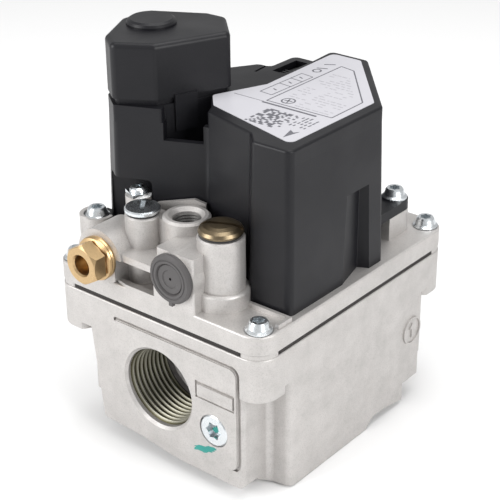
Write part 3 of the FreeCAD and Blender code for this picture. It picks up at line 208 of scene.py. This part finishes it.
cast_grain.links.new(calc(cast_grain, "ADD", entry.outputs["Roughness"],
                          spread(cast_grain, mottle, 0.3, 0.7, 0.07, -0.07)), leave.inputs["Roughness"])
cast_grain.links.new(calc(cast_grain, "ADD", calc(cast_grain, "MULTIPLY", speckle, 0.7),
                          calc(cast_grain, "MULTIPLY", mottle, 0.8)), leave.inputs["Height"])
print("group", cast_grain.name, len(cast_grain.nodes), "nodes")

# %% Moulded grain: spark-eroded texture with faint sink marks
mould_grain, entry, leave = group("mould_grain", [("Base", "Color", (0.05, 0.05, 0.05, 1)),
                                                  ("Worn", "Color", (0.1, 0.1, 0.1, 1)),
                                                  ("Roughness", "Float", 0.5)],
                                  [("Color", "Color"), ("Roughness", "Float"), ("Height", "Float")])
fine = noise(mould_grain, 1900, 2.0, 0.5)
soft = noise(mould_grain, 60, 3.0, 0.5)
worn = spread(mould_grain, soft, 0.45, 0.75)
mould_grain.links.new(blend_colour(mould_grain, calc(mould_grain, "MULTIPLY", worn, 0.35),
                                   entry.outputs["Base"], entry.outputs["Worn"]), leave.inputs["Color"])
mould_grain.links.new(calc(mould_grain, "ADD", entry.outputs["Roughness"],
                           spread(mould_grain, soft, 0.3, 0.7, 0.05, -0.05)), leave.inputs["Roughness"])
mould_grain.links.new(fine, leave.inputs["Height"])

# %% [markdown]
# ## Finishes
# A finish is a Principled shader fed by one of the groups. Only what varies over the surface is
# linked; whatever is the same all over sits on the shader's own sockets.

# %% Finish builder
def finish(name, source, light, dark, rough, metallic, bump, coat=0.0, specular=0.5, depth=0.0002):
    material = bpy.data.materials.new(name)
    material.use_nodes = True
    tree = material.node_tree
    shader = tree.nodes["Principled BSDF"]
    shader.inputs["Metallic"].default_value = metallic
    shader.inputs["Specular IOR Level"].default_value = specular
    shader.inputs["Coat Weight"].default_value = coat
    effect = tree.nodes.new("ShaderNodeGroup")
    effect.node_tree = source
    effect.inputs[0].default_value = (*light, 1)
    effect.inputs[1].default_value = (*dark, 1)
    effect.inputs[2].default_value = rough
    tree.links.new(effect.outputs["Color"], shader.inputs["Base Color"])
    tree.links.new(effect.outputs["Roughness"], shader.inputs["Roughness"])
    relief = tree.nodes.new("ShaderNodeBump")
    relief.inputs["Strength"].default_value = bump
    relief.inputs["Distance"].default_value = depth
    tree.links.new(effect.outputs["Height"], relief.inputs["Height"])
    tree.links.new(relief.outputs["Normal"], shader.inputs["Normal"])
    material["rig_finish"] = name
    return material


# %% The finishes
finishes = {
    "casting": finish("cast_aluminium", cast_grain, (0.545, 0.525, 0.51), (0.30, 0.29, 0.28), 0.50, 0.70,
                      0.25),
    "cover": finish("charcoal_moulding", mould_grain, (0.0060, 0.0060, 0.0078), (0.013, 0.0125, 0.0145),
                    0.42, 0.0,
                    0.10, specular=0.26),
    "label": finish("printed_foil", mould_grain, (0.46, 0.455, 0.485), (0.52, 0.515, 0.545), 0.38, 0.0, 0.02),
    # The gasket colour is the rubber's own dark plus painted shade, deepened to stand for the shadow in the
    # gap between the castings.
    "gasket": finish("rubber_and_seam_shade", mould_grain, (0.016, 0.013, 0.012), (0.03, 0.025, 0.023), 0.75, 0.0,
                     0.4),
    "zinc": finish("zinc_plate", cast_grain, (0.74, 0.77, 0.79), (0.56, 0.60, 0.63), 0.26, 1.0, 0.03),
    "brass": finish("turned_brass", cast_grain, (0.58, 0.41, 0.22), (0.38, 0.26, 0.13), 0.33, 1.0, 0.02),
    "dull_brass": finish("dull_brass", cast_grain, (0.21, 0.165, 0.105), (0.12, 0.09, 0.055), 0.36, 1.0,
                         0.02),
    "vent": finish("grey_moulding", mould_grain, (0.060, 0.056, 0.056), (0.09, 0.085, 0.085), 0.50, 0.0,
                   0.10),
    "black": finish("black_moulding", mould_grain, (0.018, 0.018, 0.020), (0.04, 0.04, 0.042), 0.50, 0.0,
                    0.10),
    "natural": finish("natural_moulding", mould_grain, (0.70, 0.69, 0.64), (0.60, 0.59, 0.54), 0.45, 0.0,
                      0.08),
    "steel": finish("bright_steel", cast_grain, (0.58, 0.58, 0.60), (0.40, 0.40, 0.42), 0.30, 1.0, 0.08),
    "copper": finish("enamelled_copper", cast_grain, (0.62, 0.28, 0.12), (0.36, 0.14, 0.06), 0.30, 1.0, 0.15),
    "green": finish("board_mask", mould_grain, (0.02, 0.12, 0.05), (0.03, 0.18, 0.08), 0.35, 0.0, 0.05),
    "ink": finish("grey_ink", mould_grain, (0.10, 0.10, 0.115), (0.14, 0.14, 0.155), 0.45, 0.0, 0.0),
    "faint_ink": finish("faint_ink", mould_grain, (0.34, 0.335, 0.36), (0.40, 0.395, 0.42), 0.45, 0.0, 0.0),
    "sealant": finish("teal_sealant", mould_grain, (0.010, 0.22, 0.19), (0.03, 0.34, 0.29), 0.35, 0.0, 0.3),
}
FINISH_OF_SLOT = {
    "casting": "casting", "cover": "cover", "label": "label", "gasket": "gasket", "zinc": "zinc",
    "cap_zinc": "zinc", "brass": "brass", "vent": "vent", "seal": "black", "diaphragm": "gasket",
    "adjuster": "natural", "spring": "steel", "pressing": "steel", "iron": "steel", "bobbin": "black",
    "winding": "copper", "yoke": "zinc", "disc": "black", "board": "green", "switch": "black",
    "slider": "black", "connector": "black", "terminal": "zinc", "screen": "steel"}
for entry in frame["record"]["subparts"]:
    piece = nodes[entry["node"]]
    for material_slot in piece.material_slots:
        material_slot.material = finishes[FINISH_OF_SLOT[entry["material_slot"]]]
nodes["high_cap"].material_slots[0].material = finishes["dull_brass"]
print("finishes:", sorted(finishes))

# %% [markdown]
# ## Port threads
# The solids have plain bores at the thread's root. A helical ridge in each port gives the taper pipe
# thread its crests. The roots are coloured darker and browner than the crests.

# %% Thread finish
def thread_finish(axis_x, axis_z):
    material = bpy.data.materials.new("cut_thread")
    material.use_nodes = True
    tree = material.node_tree
    shader = tree.nodes["Principled BSDF"]
    shader.inputs["Metallic"].default_value = 0.85
    shader.inputs["Roughness"].default_value = 0.45
    offset = tree.nodes.new("ShaderNodeVectorMath")
    offset.operation = "SUBTRACT"
    tree.links.new(tree.nodes.new("ShaderNodeTexCoord").outputs["Object"], offset.inputs[0])
    offset.inputs[1].default_value = (axis_x, 0, axis_z)
    flat = tree.nodes.new("ShaderNodeVectorMath")
    flat.operation = "MULTIPLY"
    tree.links.new(offset.outputs[0], flat.inputs[0])
    flat.inputs[1].default_value = (1, 0, 1)
    radius = tree.nodes.new("ShaderNodeVectorMath")
    radius.operation = "LENGTH"
    tree.links.new(flat.outputs[0], radius.inputs[0])
    root = spread(tree, radius.outputs["Value"], 0.01205, 0.01265)
    tree.links.new(blend_colour(tree, root, (0.30, 0.29, 0.24), (0.05, 0.045, 0.022)),
                   shader.inputs["Base Color"])
    material["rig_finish"] = "cut_thread"
    return material


# %% Thread ridges
PORT_AXIS = (1.4 * MM, 26.25 * MM)
ROOT, CREST, PITCH, TURNS, STEPS = 12.93 * MM, 12.0 * MM, 1.814 * MM, 9, 72


def new_piece(name, mesh, material, body="body"):
    data = bpy.data.meshes.new(name)
    bmesh.ops.recalc_face_normals(mesh, faces=mesh.faces)
    mesh.to_mesh(data)
    mesh.free()
    data.materials.append(material)
    piece = bpy.data.objects.new(name, data)
    bpy.context.scene.collection.objects.link(piece)
    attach(piece, body)
    return piece


def thread_ridge(mouth, inwards):
    mesh = bmesh.new()
    count = TURNS * STEPS
    rows = []
    for step in range(count + 1):
        angle = 2 * math.pi * step / STEPS
        taper = min(1.0, step / 40, (count - step) / 40)
        along = mouth + inwards * (0.0017 + PITCH * step / STEPS)
        row = []
        for radius, shift in ((ROOT, -0.48), (ROOT - (ROOT - CREST) * taper, -0.07),
                              (ROOT - (ROOT - CREST) * taper, 0.07), (ROOT, 0.48)):
            row.append(mesh.verts.new((PORT_AXIS[0] + radius * math.cos(angle),
                                       along + shift * PITCH * inwards,
                                       PORT_AXIS[1] + radius * math.sin(angle))))
        rows.append(row)
    for near, far in zip(rows, rows[1:]):
        for i in range(4):
            mesh.faces.new((near[i], near[(i + 1) % 4], far[(i + 1) % 4], far[i]))
    mesh.faces.new(rows[0])
    mesh.faces.new(rows[-1])
    return mesh


cut_thread = thread_finish(*PORT_AXIS)
for name, mouth, inwards in (("inlet_thread", -0.04825, 1), ("outlet_thread", 0.04825, -1)):
    ridge = new_piece(name, thread_ridge(mouth, inwards), cut_thread)
    print(ridge.name, len(ridge.data.polygons), "faces")

# %% Tapped boss: a fine thread down its bore, coloured dark as painted shade
def tap_thread(centre, top, pitch, turns, root, crest):
    mesh = bmesh.new()
    rows = []
    for step in range(turns * 36 + 1):
        angle = 2 * math.pi * step / 36
        height = top - pitch * step / 36
        rows.append([mesh.verts.new((centre[0] + radius * math.cos(angle),
                                     centre[1] + radius * math.sin(angle), height + shift * pitch))
                     for radius, shift in ((root, 0.48), (crest, 0.0), (root, -0.48))])
    for near, far in zip(rows, rows[1:]):
        for i in range(3):
            mesh.faces.new((near[i], near[(i + 1) % 3], far[(i + 1) % 3], far[i]))
    mesh.faces.new(rows[0])
    mesh.faces.new(rows[-1])
    return mesh


# The thread is cast aluminium coloured far darker than the casting: painted shade deep in the bore.
painted_shade_thread = finish("painted_shade_thread", cast_grain, (0.16, 0.155, 0.15), (0.06, 0.058, 0.055), 0.45, 0.7, 0.1)
tap_ridge = new_piece("tap_thread", tap_thread((0.85 * MM, -32.35 * MM), 76.6 * MM, 0.94 * MM, 13, 4.37 * MM,
                                               3.95 * MM), painted_shade_thread)
print(tap_ridge.name, len(tap_ridge.data.polygons), "faces")

# %% [markdown]
# ## Print on the label
# Thin raised ink: a five-sided frame round the data area, a row of three boxes with the switch's two
# marks beyond it, a block pattern, an arrow and rows of dashes. None of it can be read.

# %% Print helpers
LABEL_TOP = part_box("label")[1].z
INK = 0.02 * MM


def patch(mesh, points, low=None, high=None):
    """Thin slab of ink from (x, y) pairs in millimetres."""
    low = LABEL_TOP - 0.005 * MM if low is None else low
    high = LABEL_TOP + INK if high is None else high
    base = [mesh.verts.new((x * MM, y * MM, low)) for x, y in points]
    face = mesh.faces.new(base)
    raised = bmesh.ops.extrude_face_region(mesh, geom=[face])["geom"]
    bmesh.ops.translate(mesh, vec=(0, 0, high - low),
                        verts=[v for v in raised if isinstance(v, bmesh.types.BMVert)])


def line(mesh, start, end, width):
    run = Vector(end) - Vector(start)
    across = Vector((-run.y, run.x)).normalized() * width / 2
    a, b = Vector(start), Vector(end)
    patch(mesh, [tuple(a + across), tuple(a - across), tuple(b - across), tuple(b + across)])


def outline(mesh, points, width):
    for start, end in zip(points, points[1:] + points[:1]):
        line(mesh, start, end, width)


def ring(mesh, centre, radius, width, sides=28):
    points = [(centre[0] + radius * math.cos(2 * math.pi * i / sides),
               centre[1] + radius * math.sin(2 * math.pi * i / sides)) for i in range(sides)]
    outline(mesh, points, width)


# %% Label print
ink = bmesh.new()
data_frame = [(8.4, -4.4), (8.3, 33.0), (13.7, 32.0), (31.5, 11.3), (31.6, -4.0)]
outline(ink, data_frame, 0.42)
line(ink, (-3.0, -5.6), (8.0, -5.5), 0.25)
line(ink, (8.0, -6.0), (27.5, -5.8), 0.9)
outline(ink, [(2.1, 0.4), (2.4, 20.4), (7.1, 19.8), (6.7, 0.0)], 0.34)
for along in (9.4, 15.0):
    line(ink, (2.3, along), (6.9, along - 0.4), 0.34)
for along in (4.6, 12.0, 17.4):
    line(ink, (3.8, along), (5.4, along - 0.6), 0.5)
ring(ink, (13.7, -0.9), 2.0, 0.5)
line(ink, (12.5, -1.2), (14.9, -0.6), 0.55)
line(ink, (13.2, 0.6), (14.2, -2.4), 0.4)
patch(ink, [(29.6, -23.9), (31.0, -17.9), (29.8, -19.4), (28.0, -18.3)])
ring(ink, (4.6, 25.2), 1.3, 0.5)
line(ink, (3.0, 27.2), (6.2, 28.6), 0.6)
line(ink, (2.9, 31.2), (5.9, 33.2), 0.6)
random.seed(11)
for column in range(14):
    for row in range(14):
        if random.random() < 0.52:
            x, y = 12.8 + column * 0.82, -20.2 + row * 0.82
            patch(ink, [(x, y), (x + 0.8, y), (x + 0.8, y + 0.8), (x, y + 0.8)])
for row in range(5):
    for dash in range(4):
        x = 25.4 + row * 1.25
        y = -15.6 + dash * 2.0 + random.uniform(-0.2, 0.2)
        if random.random() < 0.8:
            line(ink, (x, y), (x + 0.1, y + random.uniform(0.9, 1.6)), 0.5)
label_print = new_piece("label_print", ink, finishes["ink"])
print(label_print.name, len(label_print.data.polygons), "faces")

# %% Small print, as rows of faint dashes
small = bmesh.new()
for row in range(17):
    y = -2.6 + row * 1.75
    start = 10.2 if row > 2 else 17.4
    stop = 29.8 - max(0.0, y - 10.0) * 0.84
    x = start + random.uniform(0.0, 1.2)
    while x < stop:
        length = random.uniform(0.7, 2.2)
        if random.random() < 0.72:
            line(small, (x, y), (min(x + length, stop), y), 0.5)
        x += length + random.uniform(0.35, 0.9)
small_print = new_piece("small_print", small, finishes["faint_ink"])
print(small_print.name, len(small_print.data.polygons), "faces")

# %% [markdown]
# ## Sealant
# A smear of teal sealant on the inlet pad and a dab in the tap plug's recess.

# %% Sealant
DAB_HEIGHT = 0.05 * MM


def dab(mesh, centre, length, height, tilt, front, seed):
    """Irregular flat drop on a face across Y; centre is (x, z) in millimetres."""
    random.seed(seed)
    points = []
    for i in range(26):
        angle = 2 * math.pi * i / 26
        reach = 1 + random.uniform(-0.28, 0.22)
        along, up = length / 2 * math.cos(angle) * reach, height / 2 * math.sin(angle) * reach
        points.append((centre[0] + along * math.cos(tilt) - up * math.sin(tilt),
                       centre[1] + along * math.sin(tilt) + up * math.cos(tilt)))
    face = mesh.faces.new([mesh.verts.new((x * MM, front * MM, z * MM)) for x, z in points])
    raised = bmesh.ops.extrude_face_region(mesh, geom=[face])["geom"]
    bmesh.ops.translate(mesh, vec=(0, -DAB_HEIGHT, 0),
                        verts=[v for v in raised if isinstance(v, bmesh.types.BMVert)])


sealant = bmesh.new()
dab(sealant, (19.6, 12.6), 9.5, 2.2, 0.32, -48.24, 5)
new_piece("sealant_smear", sealant, finishes["sealant"])
drop = bmesh.new()
dab(drop, (23.1, 20.3), 2.6, 2.0, 0.6, -46.9, 3)
new_piece("sealant_dab", drop, finishes["sealant"])
